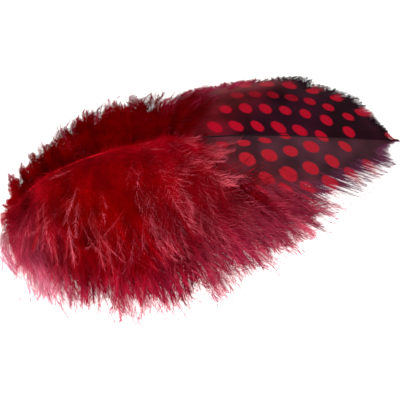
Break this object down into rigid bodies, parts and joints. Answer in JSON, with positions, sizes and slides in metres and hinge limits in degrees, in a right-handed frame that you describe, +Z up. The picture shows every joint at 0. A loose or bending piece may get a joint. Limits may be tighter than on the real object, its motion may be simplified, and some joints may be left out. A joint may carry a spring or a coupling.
{
  "type": "guinea fowl feather",
  "caption": "Dyed guinea fowl body feather with a spotted closed vane and a loose downy base, lying with its outer side up",
  "frame": {"origin": "on the surface that the feather lies on, below the middle of its bounding box", "axes": "+X from the quill to the tip of the vane, +Z up, out of the feather's outer side, +Y towards the narrow side of the down"},
  "size_m": [0.0866, 0.0566, 0.0127],
  "materials": {
    "vane": "closed feather vane, near black with dyed red spots, soft satin sheen",
    "down": "loose red down, matt and fuzzy, paler at its ends",
    "shaft": "dyed quill horn, smooth with a low gloss"
  },
  "bodies": {
    "root": {"feather": "vane"}
  },
  "joints": []
}
